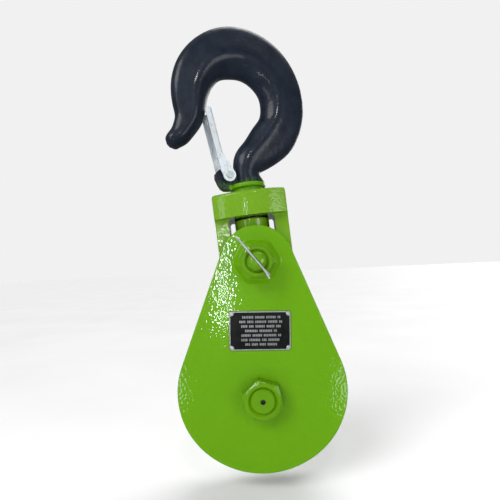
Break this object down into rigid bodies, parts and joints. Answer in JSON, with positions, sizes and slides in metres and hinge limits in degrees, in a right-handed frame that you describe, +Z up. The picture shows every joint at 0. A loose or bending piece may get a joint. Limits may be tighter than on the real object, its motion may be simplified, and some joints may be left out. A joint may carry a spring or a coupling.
{
  "type": "snatch block",
  "caption": "Swivelling latch hook over a forged yoke, two green teardrop side plates bolted round a bronze-bushed rope sheave.",
  "frame": {"origin": "the point in the hook's bowl where the thing it hangs from bears, on the hook's middle plane", "axes": "+Z up with the block hanging, -Y out of the front side plate that carries the nameplate, +X to its right; sheave, centre pin and top bolt lie along Y"},
  "size_m": [0.2234, 0.1292, 0.6017],
  "materials": {
    "green_paint": "glossy orange-peel enamel",
    "hook_paint": "glossy near-black enamel on a forging",
    "zinc_plate": "bright zinc plate",
    "bright_steel": "plain machined steel",
    "bushing_bronze": "machined bronze",
    "nameplate_black": "black anodised field with a bright border",
    "sheave_iron": "painted cast steel, rope groove bare"
  },
  "bodies": {
    "hook": {"hook": "hook_paint", "hook_nut": "green_paint", "hook_nut_pin": "bright_steel", "thrust_washer": "bright_steel", "latch_rivet": "zinc_plate", "latch_spring": "bright_steel"},
    "latch": {"latch": "zinc_plate"},
    "yoke": {"yoke": "green_paint"},
    "block": {"front_side_plate": "green_paint", "rear_side_plate": "green_paint", "top_bolt": "green_paint", "top_bolt_nut": "green_paint", "top_bolt_cotter": "zinc_plate", "centre_pin": "green_paint", "front_pin_nut": "green_paint", "rear_pin_nut": "green_paint", "front_hub_washer": "bushing_bronze", "rear_hub_washer": "bushing_bronze", "grease_fitting": "bright_steel", "grease_ball": "bright_steel", "nameplate": "nameplate_black", "nameplate_screws": "bright_steel"},
    "sheave": {"sheave": "sheave_iron", "sheave_bushing": "bushing_bronze"}
  },
  "joints": [
    {"name": "hook_swivel", "type": "hinge", "parent": "hook", "child": "yoke", "pos_m": [0.01891, 0.00173, -0.16148], "axis": [-0.0837, 0, 0.9965], "continuous": true},
    {"name": "block_swing", "type": "hinge", "parent": "yoke", "child": "block", "pos_m": [0.02669, 0.00173, -0.25416], "axis": [0, 1, 0], "range_deg": [-78, 69]},
    {"name": "sheave_spin", "type": "hinge", "parent": "block", "child": "sheave", "pos_m": [0.02669, 0.00173, -0.43016], "axis": [0, 1, 0], "continuous": true},
    {"name": "latch_open", "type": "hinge", "parent": "hook", "child": "latch", "pos_m": [-0.00888, -0.00661, -0.13742], "axis": [-0.3079, 0.9511, -0.0259], "range_deg": [0, 34], "stiffness_Nm_per_rad": 0.12, "springref_deg": -34.38}
  ]
}
